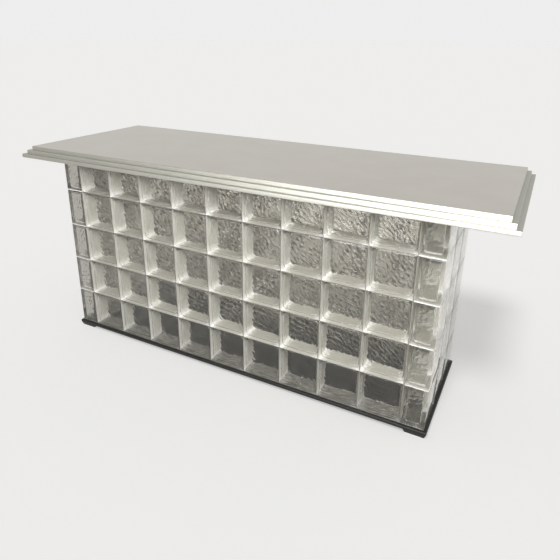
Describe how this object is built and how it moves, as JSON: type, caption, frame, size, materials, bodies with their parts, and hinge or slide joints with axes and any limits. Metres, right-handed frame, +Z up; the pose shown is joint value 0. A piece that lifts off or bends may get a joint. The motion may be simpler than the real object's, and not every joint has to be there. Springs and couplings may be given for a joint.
{
  "type": "buffet table",
  "caption": "Long buffet table: hollow base of clear glass blocks on a black board with low feet, under a wide satin metal top with a stepped edge, overhanging most at the back and ends.",
  "frame": {"origin": "on the floor under the middle of the top", "axes": "+X along the table's length to the right as seen from the front, the front faces -Y, +Z up"},
  "size_m": [1.9026, 0.7022, 0.805],
  "materials": {
    "clear_glass": "clear pressed glass, smooth outside, rippled inside",
    "clear_sealant": "translucent silicone, tooled",
    "black_wood": "black satin lacquer",
    "satin_aluminium": "fine satin",
    "mill_aluminium": "mill finish",
    "plywood": "raw, sealed",
    "zinc_steel": "zinc plated"
  },
  "bodies": {
    "root": {"front_course_1": "clear_glass", "front_course_2": "clear_glass", "front_course_3": "clear_glass", "front_course_4": "clear_glass", "front_course_5": "clear_glass", "back_course_1": "clear_glass", "back_course_2": "clear_glass", "back_course_3": "clear_glass", "back_course_4": "clear_glass", "back_course_5": "clear_glass", "left_course_1": "clear_glass", "left_course_2": "clear_glass", "left_course_3": "clear_glass", "left_course_4": "clear_glass", "left_course_5": "clear_glass", "right_course_1": "clear_glass", "right_course_2": "clear_glass", "right_course_3": "clear_glass", "right_course_4": "clear_glass", "right_course_5": "clear_glass", "head_joints_front": "clear_sealant", "head_joints_back": "clear_sealant", "head_joints_left": "clear_sealant", "head_joints_right": "clear_sealant", "bed_joints_front": "clear_sealant", "bed_joints_back": "clear_sealant", "bed_joints_left": "clear_sealant", "bed_joints_right": "clear_sealant", "base_board": "black_wood", "foot_front_left": "black_wood", "foot_front_right": "black_wood", "foot_back_left": "black_wood", "foot_back_right": "black_wood", "top_sheet": "satin_aluminium", "edge_moulding_front": "satin_aluminium", "edge_moulding_back": "satin_aluminium", "edge_moulding_left": "satin_aluminium", "edge_moulding_right": "satin_aluminium", "cap_angle_front": "mill_aluminium", "cap_angle_back": "mill_aluminium", "cap_angle_left": "mill_aluminium", "cap_angle_right": "mill_aluminium", "top_core": "plywood", "edge_batten_front": "plywood", "edge_batten_back": "plywood", "edge_batten_left": "plywood", "edge_batten_right": "plywood", "foot_screws": "zinc_steel", "top_screws": "zinc_steel", "edge_screws": "zinc_steel"}
  },
  "joints": []
}
